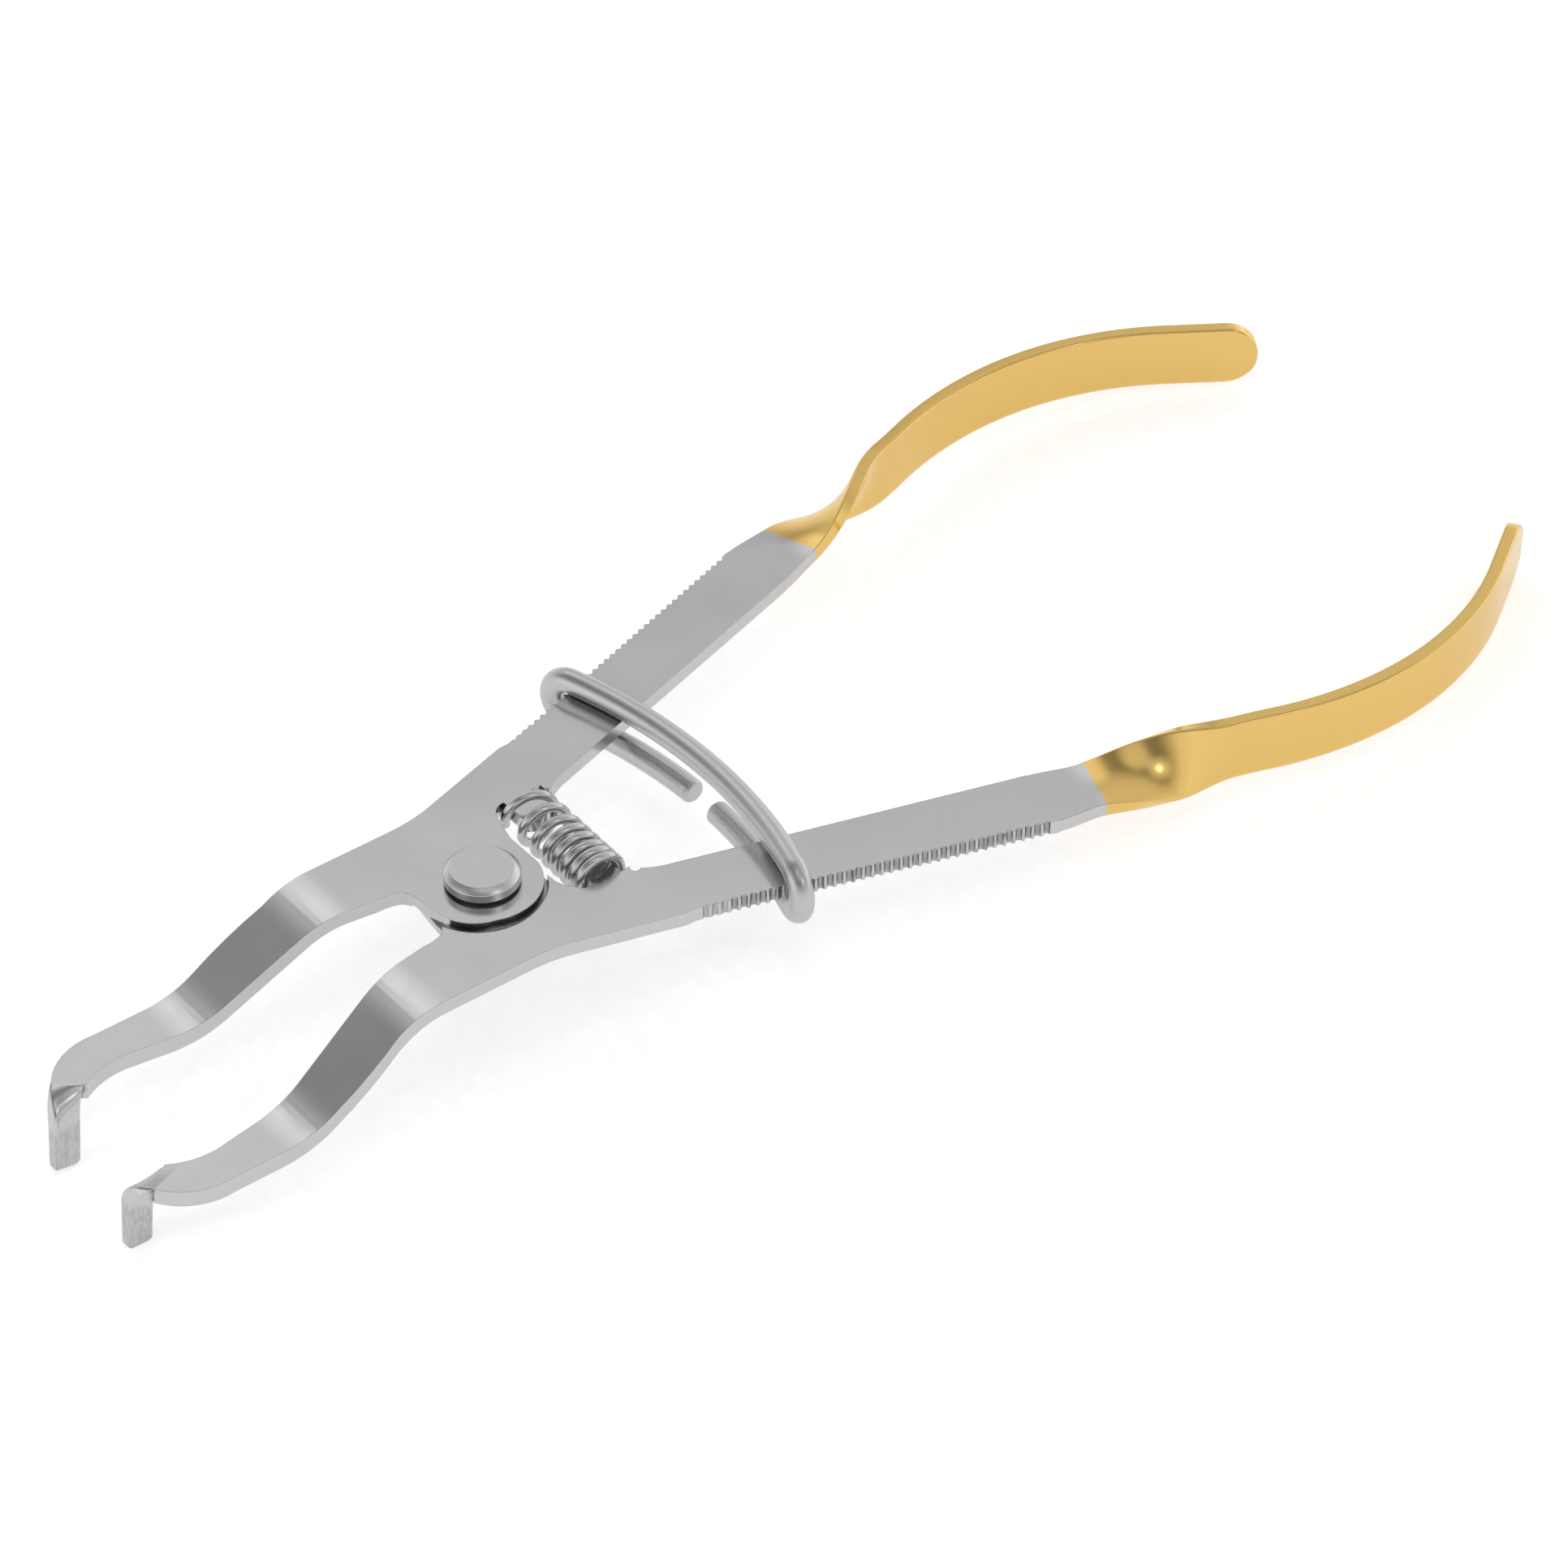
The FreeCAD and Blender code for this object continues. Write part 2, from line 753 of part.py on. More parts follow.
def make_spring():
    turns = sum(size(run + "_turns") for run in ("close", "middle", "open", "end"))
    middle = size("seat_centre")
    lower = Vector(middle, size("coil_start"), size("plate") / 2)
    upper = Vector(middle, size("coil_start") + coil_rise(turns), size("plate") / 2 + size("lap_step"))
    axis = (upper - lower).normalize()

    def on_coil(turn):
        """Left-handed: with the axis towards the upper arm, the coil runs from +X over the top."""
        angle = math.radians(size("coil_start_angle") - 360 * turn)
        radius = size("coil_radius")
        return Vector(radius * math.cos(angle), radius * math.sin(angle), coil_rise(turn))

    arcs = int(round(turns * 4))
    edges = []
    for index in range(arcs):
        at = [on_coil(turns * (index + part) / arcs) for part in (0, 0.5, 1)]
        edges.append(Part.Arc(*at).toShape())
    path = Part.Wire(edges)
    start = edges[0].valueAt(edges[0].FirstParameter)
    ahead = edges[0].tangentAt(edges[0].FirstParameter)
    ring = Part.Wire(Part.makeCircle(size("wire") / 2, start, ahead))
    spring = doc.addObject("Part::Feature", "spring")
    spring.Label = "spring"
    spring.Shape = path.makePipeShell([ring], True, True)
    across = Vector(1, 0, 0)
    spring.Placement = Placement(lower, Rotation(across, axis.cross(across), axis, "XYZ"))
    return spring


# Wire bow: a bar over both arms, a tight bend round each outer edge and two legs below.
def make_bow():
    wire = size("bow_wire") / 2
    stack = size("plate") + size("lap_step")
    bar_height = stack + size("bow_clearance") + wire
    leg_height = -size("bow_clearance") - wire
    bend = (bar_height - leg_height) / 2
    middle_height = (bar_height + leg_height) / 2
    angle = size("tooth_angle")
    radians = math.radians(angle)
    # the arm's edge corner meets the inside of the bend where the bend is this wide
    inside = bend - wire
    bite = math.sqrt(inside**2 - middle_height**2)
    depth = size("tooth_line") - bite + size("bow_grip")
    x = size("bow_station")
    y = (depth + x * math.sin(radians)) / math.cos(radians)
    sweep = y / math.sin(radians)
    hub = x - sweep * math.cos(radians)
    pieces = []

    def torus(name, radius, turn, place):
        ring = doc.addObject("Part::Torus", name)
        ring.Radius1 = radius
        ring.setExpression("Radius2", "sizes.bow_wire / 2")
        ring.Angle1 = -180
        ring.Angle2 = 180
        ring.Angle3 = turn
        ring.Placement = place
        pieces.append(ring)

    up = Vector(0, 0, 1)
    torus("bow_bar", sweep, 2 * angle, Placement(Vector(hub, 0, bar_height), Rotation(up, -angle)))
    for side, gap in ((1, size("bow_gap_upper")), (-1, size("bow_gap_lower"))):
        word = "upper" if side > 0 else "lower"
        gap_angle = math.degrees(math.asin(gap / sweep))
        start = gap_angle if side > 0 else -angle
        place = Placement(Vector(hub, 0, leg_height), Rotation(up, start))
        torus("bow_%s_leg" % word, sweep, angle - gap_angle, place)
        # half ring in the upright plane that points outwards along the leg
        out = Vector(-math.sin(radians), side * math.cos(radians), 0)
        frame = Rotation(-up, out, (-up).cross(out), "XYZ")
        torus("bow_%s_bend" % word, bend, 180, Placement(Vector(x, side * y, middle_height), frame))
    joined = doc.addObject("Part::MultiFuse", "bow_joined")
    joined.Shapes = pieces
    joined.Refine = True
    doc.recompute()
    ends = []
    for index, edge in enumerate(joined.Shape.Edges, start=1):
        if isinstance(edge.Curve, Part.Circle) and abs(edge.Curve.Radius - wire) < 1e-4:
            if abs(edge.Curve.Center.y) < size("bow_gap_lower") + 1 and edge.Curve.Center.z < 0:
                ends.append((index, size("bow_end_round"), size("bow_end_round")))
    bow = doc.addObject("Part::Fillet", "lock_bow")
    bow.Label = "lock_bow"
    bow.Base = joined
    bow.Edges = ends
    doc.recompute()
    return bow


lower_arm = make_arm("lower_arm", -1, size("lower_seat_depth"), 0.0)
upper_arm = make_arm("upper_arm", 1, size("upper_seat_depth"), size("lap_step"))
pivot_pin = make_pin()
spring = make_spring()
lock_bow = make_bow()
nodes = [lower_arm, upper_arm, pivot_pin, spring, lock_bow]

doc.recompute()
for thing in doc.Objects:
    if "Invalid" in thing.State or "Error" in thing.State:
        raise ValueError("%s failed: %s" % (thing.Name, thing.State))
for node in nodes:
    if node.Shape.isNull() or not node.Shape.isValid():
        raise ValueError("%s has no valid shape" % node.Label)

os.makedirs("parts", exist_ok=True)
for node in nodes:
    node.Shape.exportStep(os.path.join("parts", node.Label + ".step"))
    print("%s: %d solid, %.1f mm3" % (node.Label, len(node.Shape.Solids), node.Shape.Volume))
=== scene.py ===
"""Matrix ring forceps: the finish of every piece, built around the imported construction."""

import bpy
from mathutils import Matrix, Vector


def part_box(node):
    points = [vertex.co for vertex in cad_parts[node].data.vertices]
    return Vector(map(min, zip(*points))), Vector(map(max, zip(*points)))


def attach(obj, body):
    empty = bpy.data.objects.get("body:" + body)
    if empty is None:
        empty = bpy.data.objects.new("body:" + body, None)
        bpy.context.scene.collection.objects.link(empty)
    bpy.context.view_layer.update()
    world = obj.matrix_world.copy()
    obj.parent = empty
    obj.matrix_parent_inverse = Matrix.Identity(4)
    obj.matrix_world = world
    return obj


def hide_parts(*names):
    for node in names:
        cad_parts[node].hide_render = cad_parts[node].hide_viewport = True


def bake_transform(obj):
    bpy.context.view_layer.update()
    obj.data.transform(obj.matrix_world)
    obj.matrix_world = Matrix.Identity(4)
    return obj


bl_info = {
    "name": "Matrix ring forceps",
    "version": (1, 0, 0),
    "blender": (4, 5, 0),
    "location": "3D View > Sidebar > Forceps",
    "description": "Dresses the arms, rivet, spring and bow of a ring forceps and sets its stage",
    "category": "Object",
}

import math

import bpy
from mathutils import Vector

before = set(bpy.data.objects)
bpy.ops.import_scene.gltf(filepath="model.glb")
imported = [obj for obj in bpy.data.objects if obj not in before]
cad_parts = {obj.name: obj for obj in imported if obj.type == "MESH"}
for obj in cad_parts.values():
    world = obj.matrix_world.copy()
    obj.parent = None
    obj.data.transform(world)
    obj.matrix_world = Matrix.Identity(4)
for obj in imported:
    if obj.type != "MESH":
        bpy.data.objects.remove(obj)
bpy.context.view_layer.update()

MM = 0.001

# The thickness of both arms' plate.
PLATE = 1.6 * MM

# The jaws' upper (1) and lower (-1) bend, on the plate's top and on its underside: where the
# lines beside each bend would meet, and its radius.
TOP_BENDS = ((-16.3 * MM, 6.0 * MM, 1), (-30.28 * MM, 6.0 * MM, -1))
UNDER_BENDS = ((-15.856 * MM, 4.4 * MM, 1), (-30.335 * MM, 7.6 * MM, -1))
BEND_ANGLE = math.radians(31.0)
BEND_EASE = 5.0 * MM
BEND_CUTS = 12

# The handle's path from the flat shank to its end: the length and the turn of each stretch.
HANDLE_ROOT = (54.0 * MM, 24.37 * MM)
HANDLE_ANGLE = math.radians(14.3)
RISE_ANGLE = math.radians(5.7)
CROWN_ANGLE = HANDLE_ANGLE + RISE_ANGLE
DROP_ANGLE = math.radians(34.0)
HANDLE_STRETCHES = (
    (20.0 * MM, 0.0),
    (63.0 * MM * RISE_ANGLE, RISE_ANGLE),
    (42.4 * MM * CROWN_ANGLE, -CROWN_ANGLE),
    (38.1 * MM * DROP_ANGLE, -DROP_ANGLE),
    (10.3 * MM, 0.0),
)

# Its twist and how far that lifts it, its width at the root, in the twist and as a blade, and the
# radii of its corners. The waist is where it is drawn in.
TWIST_START = 4.0 * MM
TWIST_LENGTH = 18.5 * MM
TWIST_ANGLE = math.radians(90.0)
HANDLE_LIFT = 0.27 * MM
ROOT_WIDTH = 8.0 * MM
TWIST_WIDTH = 6.9 * MM
BLADE_WIDTH = 7.55 * MM
WAIST_LENGTH = 6.0 * MM
WAIST_END = 10.0 * MM
BLADE_START = 18.0 * MM
ROOT_ROUND = 0.12 * MM
UPPER_ROUND = 0.3 * MM
LOWER_ROUND = 0.72 * MM

# How finely its mesh is divided: rows along it, and parts of a face, of a corner and of its end.
ROW_SPACING = 0.5 * MM
FACE_PARTS = 6
CORNER_PARTS = 5
END_PARTS = 16
END_ANGLE = math.radians(87.0)

# The gold plating starts at a line across the shank: the line's normal, its distance from the
# rivet and half the width over which the gold fades in.
PLATING_HEADING = (0.951, 0.308, 0.0)
PLATING_START = 64.82 * MM
PLATING_FADE = 0.12 * MM

# The heights between which the jaw tips' legs turn from polished to ground.
GROUND_FROM = -9.0 * MM
GROUND_FULL = -10.2 * MM

# The spring's axis, from the lower arm's seat to the upper arm's, its turns and how far one turn
# rises in each stretch, and the angle at which its wire starts.
SPRING_X = 10.75 * MM
SPRING_START_Y = -5.9 * MM
SPRING_START_Z = 0.8 * MM
SPRING_END_Z = 1.4 * MM
SPRING_STRETCHES = (
    (2.2, 1.12 * MM),
    (3.0, 1.55 * MM),
    (2.1, 2.25 * MM),
    (0.45, 4.2 * MM),
)
SPRING_TURNS = sum(turns for turns, pitch in SPRING_STRETCHES)
SPRING_START_ANGLE = math.radians(60.0)
SPRING_POINTS_PER_TURN = 16

# Points closer together than this are merged, and so are faces that lean less to each other.
MERGE_DISTANCE = 0.001 * MM
FLAT_ANGLE = math.radians(0.05)

# Edges sharper than the first are rounded. Edges less sharp than the second are shaded smooth,
# and on the spring those less sharp than the third.
ROUND_ANGLE = math.radians(32.0)
SMOOTH_ANGLE = math.radians(50.0)
WIRE_SMOOTH_ANGLE = math.radians(40.0)

# The forceps rests on its two jaw tips and on the far ends of its handles, so the floor leans a
# little. It gives off light to the camera and to what mirrors it, and keeps its shadows.
FLOOR_X = -48.0 * MM
FLOOR_SLOPE = 0.0725
FLOOR_SIZE = 6.0
FLOOR_GAP = 0.05 * MM
FLOOR_SEEN = 0.5
FLOOR_MIRRORED = 0.36

# The room's brightness at the horizon and overhead, and the Z of the directions where each
# begins.
HORIZON_HEIGHT = 0.1
OVERHEAD_HEIGHT = 0.66
HORIZON_TONE = 0.92
OVERHEAD_TONE = 0.25
ROOM_COLOUR = (0.985, 0.985, 1.0, 1.0)

# Bright patches of the room that the metal mirrors: direction, the angles from it in degrees
# within which a patch is full and past which it is gone, and its strength. Behind, left and right
# are meant as the camera looks.
ROOM_PATCHES = (
    ((0.22, 0.60, 0.77), 5, 21, 0.62),  # high behind
    ((0.18, 0.68, 0.71), 10, 40, 0.1),  # wide and faint round it
    ((0.84, 0.0, 0.54), 18, 50, 0.5),  # broad to the right
    ((0.14, -0.70, 0.70), 1, 7, 2.0),  # small and strong, in front and to the right
    ((0.14, -0.70, 0.70), 4, 22, 0.5),  # wide round it
    ((0.59, 0.57, 0.57), 2, 9, 0.16),  # small, straight behind
    ((-0.07, 0.74, 0.67), 5, 25, 0.28),  # behind and to the left
    ((-0.15, -0.25, 1.0), 5, 26, 0.5),  # overhead, where the top lamp is
    ((-1.0, 0.15, 0.45), 8, 30, 0.4),  # left, where the left lamp is
)

# Soft lamps: name, direction from the forceps, width, height and radiance.
SOFTBOXES = (
    ("top_softbox", (-0.15, -0.25, 1.0), 0.5, 0.9, 1.0),
    ("left_softbox", (-1.0, 0.15, 0.45), 0.5, 0.7, 0.9),
)
SOFTBOX_DISTANCE = 1.3
SOFTBOX_TARGET = (0.035, 0.0, 0.0)

# The rings of a Wave texture of scale 1 are this far apart.
WAVE_SPACING = 0.31

# A Mix node has inputs and outputs for each kind of data, which only their places tell apart.
SHARE, FIRST_VALUE, SECOND_VALUE, FIRST_COLOUR, SECOND_COLOUR = 0, 2, 3, 6, 7
MIXED_VALUE, MIXED_COLOUR = 0, 2


def linear(colour):
    """A sRGB hex colour as linear red, green, blue and alpha."""
    shares = [int(colour[i : i + 2], 16) / 255 for i in (0, 2, 4)]
    return [s / 12.92 if s <= 0.04045 else ((s + 0.055) / 1.055) ** 2.4 for s in shares] + [1.0]


def add_node(tree, kind, settings=None, inputs=None):
    """One node with its settings, and with a value or a link for each input that is given."""
    node = tree.nodes.new(kind)
    for name, value in (settings or {}).items():
        setattr(node, name, value)
    for name, value in (inputs or {}).items():
        if isinstance(value, bpy.types.NodeSocket):
            tree.links.new(value, node.inputs[name])
        else:
            node.inputs[name].default_value = value
    return node


def new_material(name):
    """An empty material, its node tree and its Object coordinates."""
    material = bpy.data.materials.new(name)
    material.use_nodes = True
    tree = material.node_tree
    tree.nodes.clear()
    return material, tree, add_node(tree, "ShaderNodeTexCoord").outputs["Object"]


def close_material(tree, shader):
    """Make the shader the material's surface."""
    output = add_node(tree, "ShaderNodeOutputMaterial")
    tree.links.new(shader, output.inputs["Surface"])


def grain(tree, place, stretch, spacing, detail=2.0):
    """Noise whose grain is spacing metres across and stretch times as long along each axis."""
    scale = [1 / (spacing * share) for share in stretch]
    mapping = add_node(tree, "ShaderNodeMapping", inputs={"Vector": place, "Scale": scale})
    noise = add_node(
        tree,
        "ShaderNodeTexNoise",
        inputs={"Vector": mapping.outputs["Vector"], "Scale": 1.0, "Detail": detail},
    )
    return noise.outputs["Fac"]


def spread(tree, pattern, low, high):
    """A pattern's values, most of which lie from 0.3 to 0.7, spread from low to high."""
    ramp = add_node(
        tree,
        "ShaderNodeMapRange",
        inputs={"Value": pattern, "From Min": 0.3, "From Max": 0.7, "To Min": low, "To Max": high},
    )
    return ramp.outputs["Result"]


def two_tone(tree, pattern, most, first, second):
    """A sRGB hex colour that a pattern tints with the second one, by a share of most at most."""
    share = spread(tree, pattern, 0.0, most)
    return add_node(
        tree,
        "ShaderNodeMix",
        {"data_type": "RGBA"},
        {SHARE: share, FIRST_COLOUR: linear(first), SECOND_COLOUR: linear(second)},
    ).outputs[MIXED_COLOUR]


def close_metal(tree, colour, roughness, bump):
    """End a metal's material with its shader; a metal keeps the default IOR."""
    shader = add_node(
        tree,
        "ShaderNodeBsdfPrincipled",
        inputs={
            "Metallic": 1.0,
            "Base Color": colour,
            "Roughness": roughness,
            "Normal": bump.outputs["Normal"],
        },
    )
    close_material(tree, shader.outputs["BSDF"])


class ForcepsSizes(bpy.types.PropertyGroup):
    """Sizes and colours of the dressed forceps."""

    edge_round: bpy.props.FloatProperty(
        name="Edge rounding",
        description="Radius to which polishing has worn the arms' edges, as their material shows",
        default=0.14 * MM,
        min=0.0,
        max=0.4 * MM,
        precision=5,
        unit="LENGTH",
    )
    rivet_round: bpy.props.FloatProperty(
        name="Rivet edge rounding",
        description="Width of the broken edges of the rivet and of the bow's two ends",
        default=0.07 * MM,
        min=0.0,
        max=0.2 * MM,
        precision=5,
        unit="LENGTH",
    )
    coil_wire: bpy.props.FloatProperty(
        name="Spring wire",
        description="Diameter of the spring's wire",
        default=1.05 * MM,
        precision=5,
        unit="LENGTH",
    )
    coil_radius: bpy.props.FloatProperty(
        name="Coil radius",
        description="Radius of the spring's coils at the middle of the wire",
        default=2.53 * MM,
        precision=5,
        unit="LENGTH",
    )
    steel: bpy.props.StringProperty(
        name="Steel", description="Colour of the polished steel, sRGB hex", default="CECDCD"
    )
    gold: bpy.props.StringProperty(
        name="Gold plate", description="Colour of the plated handles, sRGB hex", default="EDC878"
    )
    wire_steel: bpy.props.StringProperty(
        name="Wire steel",
        description="Colour of the bow and the spring, sRGB hex",
        default="C9C8C8",
    )


class StageSizes(bpy.types.PropertyGroup):
    """The floor and the camera."""

    focal_length: bpy.props.FloatProperty(
        name="Focal length", description="The camera's lens in millimetres", default=140.95
    )
    camera_place: bpy.props.FloatVectorProperty(
        name="Camera place",
        description="Where the camera stands",
        default=(-0.26707, -0.39378, 0.40992),
        subtype="TRANSLATION",
    )
    camera_pitch: bpy.props.FloatProperty(
        name="Camera pitch",
        description="How far the camera looks down",
        default=math.radians(39.75),
        subtype="ANGLE",
    )
    camera_heading: bpy.props.FloatProperty(
        name="Camera heading",
        description="How far the camera is turned from +Y towards +X",
        default=math.radians(37.85),
        subtype="ANGLE",
    )
    floor: bpy.props.StringProperty(
        name="Floor", description="Floor colour, sRGB hex", default="F7F7F7"
    )


def arm_material(settings):
    """Polished stainless forging whose handle is plated with gold: the plated part starts at a
    straight, slightly slanting line across the shank. Both are near mirrors, so they take their
    tone from what stands round them, with faint polishing lines and painted shade in the grooves."""
    material, tree, place = new_material("polished_stainless_gold_plated_handle")

    # the plating's line; both arms share it, mirrored
    mirrored = add_node(
        tree, "ShaderNodeVectorMath", {"operation": "ABSOLUTE"}, {0: place}
    ).outputs["Vector"]
    along = add_node(
        tree,
        "ShaderNodeVectorMath",
        {"operation": "DOT_PRODUCT"},
        {0: mirrored, 1: PLATING_HEADING},
    ).outputs["Value"]
    in_handle = add_node(
        tree,
        "ShaderNodeMapRange",
        {"interpolation_type": "SMOOTHSTEP"},
        {
            "Value": along,
            "From Min": PLATING_START - PLATING_FADE,
            "From Max": PLATING_START + PLATING_FADE,
        },
    ).outputs["Result"]
    apart = add_node(tree, "ShaderNodeSeparateXYZ", inputs={"Vector": place}).outputs
    behind = add_node(
        tree, "ShaderNodeMath", {"operation": "GREATER_THAN"}, {0: apart["X"], 1: 0.0}
    ).outputs["Value"]
    plated = add_node(
        tree, "ShaderNodeMath", {"operation": "MULTIPLY"}, {0: in_handle, 1: behind}
    ).outputs["Value"]

    # polishing lines run along the arm; 0.09 mm apart, as coarse as they need to show
    lines = grain(tree, place, (18, 1, 1), 0.09 * MM)
    clouds = grain(tree, place, (1, 1, 1), 3.0 * MM)
    steel = two_tone(tree, lines, 0.12, settings.steel, "B4B2B2")
    gold = two_tone(tree, lines, 0.1, settings.gold, "D9AE52")
    colour = add_node(
        tree,
        "ShaderNodeMix",
        {"data_type": "RGBA"},
        {SHARE: plated, FIRST_COLOUR: steel, SECOND_COLOUR: gold},
    ).outputs[MIXED_COLOUR]
    rough_steel = spread(tree, clouds, 0.17, 0.23)
    rough_gold = spread(tree, clouds, 0.13, 0.17)
    # hand polishing leaves broad flats a little wavy: swells 11 mm apart
    swells = grain(tree, place, (1, 1, 1), 11.0 * MM, 0.0)
    # polishing has taken the sharpness off every edge, down to those of the teeth
    worn_edge = add_node(
        tree, "ShaderNodeBevel", {"samples": 6}, {"Radius": settings.edge_round}
    ).outputs["Normal"]
    wavy = add_node(
        tree,
        "ShaderNodeBump",
        inputs={"Strength": 1.0, "Distance": 0.12 * MM, "Height": swells, "Normal": worn_edge},
    ).outputs["Normal"]
    bump = add_node(
        tree,
        "ShaderNodeBump",
        inputs={"Strength": 0.12, "Distance": 0.002 * MM, "Height": lines, "Normal": wavy},
    )
    # painted shade: an occlusion mask darkens the tooth grooves and other hollows to a dark grey
    open_share = add_node(
        tree,
        "ShaderNodeAmbientOcclusion",
        {"only_local": True, "samples": 8},
        {"Distance": 0.7 * MM},
    ).outputs["AO"]
    unshaded_share = add_node(
        tree,
        "ShaderNodeMapRange",
        inputs={"Value": open_share, "From Min": 0.55, "From Max": 0.98},
    ).outputs["Result"]
    # painted shade: where the occlusion mask closes in, the colour gives way to dark grey
    colour = add_node(
        tree,
        "ShaderNodeMix",
        {"data_type": "RGBA"},
        {SHARE: unshaded_share, FIRST_COLOUR: linear("575350"), SECOND_COLOUR: colour},
    ).outputs[MIXED_COLOUR]
    # the folded tips are ground and not polished: upright scratches 0.25 mm apart on a duller,
    # warmer grey, from where the legs leave the level jaws
    ground = add_node(
        tree,
        "ShaderNodeMapRange",
        inputs={"Value": apart["Z"], "From Min": GROUND_FROM, "From Max": GROUND_FULL},
    ).outputs["Result"]
    scratches = spread(tree, grain(tree, place, (1, 1, 5), 0.25 * MM), 0.0, 0.42)
    scratched = add_node(
        tree,
        "ShaderNodeMix",
        {"data_type": "FLOAT"},
        {SHARE: ground, FIRST_VALUE: 0.0, SECOND_VALUE: scratches},
    ).outputs[MIXED_VALUE]
    colour = add_node(
        tree,
        "ShaderNodeMix",
        {"data_type": "RGBA"},
        {SHARE: scratched, FIRST_COLOUR: colour, SECOND_COLOUR: linear("8C867E")},
    ).outputs[MIXED_COLOUR]
    polished = add_node(
        tree,
        "ShaderNodeMix",
        {"data_type": "FLOAT"},
        {SHARE: plated, FIRST_VALUE: rough_steel, SECOND_VALUE: rough_gold},
    ).outputs[MIXED_VALUE]
    rough_ground = spread(tree, clouds, 0.3, 0.38)
    roughness = add_node(
        tree,
        "ShaderNodeMix",
        {"data_type": "FLOAT"},
        {SHARE: ground, FIRST_VALUE: polished, SECOND_VALUE: rough_ground},
    ).outputs[MIXED_VALUE]
    close_metal(tree, colour, roughness, bump)
    return material


def turned_material():
    """Turned stainless rivet, fine concentric tool marks that give its flat top a satin face."""
    material, tree, place = new_material("turned_stainless_rivet")
    # tool marks 0.12 mm apart, as coarse as they need to show
    rings = add_node(
        tree,
        "ShaderNodeTexWave",
        {"wave_type": "RINGS", "rings_direction": "Z"},
        {"Vector": place, "Scale": WAVE_SPACING / (0.12 * MM), "Distortion": 0.6, "Detail": 1.0},
    ).outputs["Fac"]
    speck = grain(tree, place, (1, 1, 1), 2.0 * MM)
    colour = two_tone(tree, speck, 0.08, "D2D0CD", "B9B7B5")
    bump = add_node(
        tree,
        "ShaderNodeBump",
        inputs={"Strength": 0.02, "Distance": 0.002 * MM, "Height": rings},
    )
    close_metal(tree, colour, spread(tree, speck, 0.27, 0.31), bump)
    return material


def wire_material(settings, name, roughness, tone, mark_share):
    """Drawn stainless wire, smooth and bright, with faint draw marks and small dull patches."""
    material, tree, place = new_material(name)
    marks = grain(tree, place, (1, 24, 1), 0.12 * MM)
    patches = grain(tree, place, (1, 1, 1), 1.6 * MM)
    colour = two_tone(tree, marks, mark_share, settings.wire_steel, tone)
    bump = add_node(
        tree,
        "ShaderNodeBump",
        inputs={"Strength": mark_share / 4, "Distance": 0.002 * MM, "Height": marks},
    )
    close_metal(tree, colour, spread(tree, patches, roughness, roughness + 0.06), bump)
    return material


def select_only(piece):
    """Make the piece the active one and the only one that is selected."""
    bpy.ops.object.select_all(action="DESELECT")
    piece.select_set(True)
    bpy.context.view_layer.objects.active = piece


def give_material(piece, node, material):
    """Put the material on the piece and on the CAD node whose place it takes."""
    for mesh in (piece.data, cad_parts[node].data):
        mesh.materials.clear()
        mesh.materials.append(material)


def dressed_copy(node, name, rounding, material, before_bevel=None, after_bevel=None):
    """The node's own shape as one merged mesh with smooth curves and flat faces. Its edges are
    rounded as far as they leave each other room: on the toothed arms that comes to nothing, and
    their material shades the worn edges instead."""
    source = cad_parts[node]
    piece = bpy.data.objects.new(name, source.data.copy())
    bpy.context.scene.collection.objects.link(piece)
    select_only(piece)
    bpy.ops.object.mode_set(mode="EDIT")
    bpy.ops.mesh.select_all(action="SELECT")
    bpy.ops.mesh.remove_doubles(threshold=MERGE_DISTANCE)
    bpy.ops.mesh.dissolve_limited(angle_limit=FLAT_ANGLE)
    bpy.ops.object.mode_set(mode="OBJECT")
    if before_bevel is not None:
        before_bevel(piece)
    bpy.ops.object.shade_smooth()
    bevel = piece.modifiers.new("edge_rounding", "BEVEL")
    bevel.width = rounding
    bevel.segments = 2
    bevel.limit_method = "ANGLE"
    bevel.angle_limit = ROUND_ANGLE
    bevel.use_clamp_overlap = True
    bpy.ops.object.modifier_apply(modifier=bevel.name)
    if after_bevel is not None:
        after_bevel(piece)
    bpy.ops.object.shade_smooth_by_angle(angle=SMOOTH_ANGLE)
    normals = piece.modifiers.new("flat_faces_stay_flat", "WEIGHTED_NORMAL")
    normals.mode = "FACE_AREA_WITH_ANGLE"
    normals.weight = 60
    normals.keep_sharp = True
    bpy.ops.object.modifier_apply(modifier=normals.name)
    give_material(piece, node, material)
    return piece


def arc_height(x, vertex_x, radius, angle, side):
    """How far a bend's arc runs from its two straight lines at x; side 1 is the upper bend."""
    reach = radius * math.tan(angle / 2)
    from_level_end = (vertex_x + side * reach - x) * side
    span = reach * (1 + math.cos(angle))
    if from_level_end <= 0 or from_level_end >= span:
        return 0.0
    arc = radius - math.sqrt(radius**2 - from_level_end**2)
    line = max(from_level_end - reach, 0.0) * math.tan(angle)
    return side * (line - arc)


def profile_height(x, bends, extra):
    """Height of the plate's top or underside at x below the flat shank, bends made extra wide."""
    upper, lower = bends
    height = -min(max(upper[0] - x, 0.0), upper[0] - lower[0]) * math.tan(BEND_ANGLE)
    for vertex_x, radius, side in bends:
        height += arc_height(x, vertex_x, radius + extra, BEND_ANGLE, side)
    return height


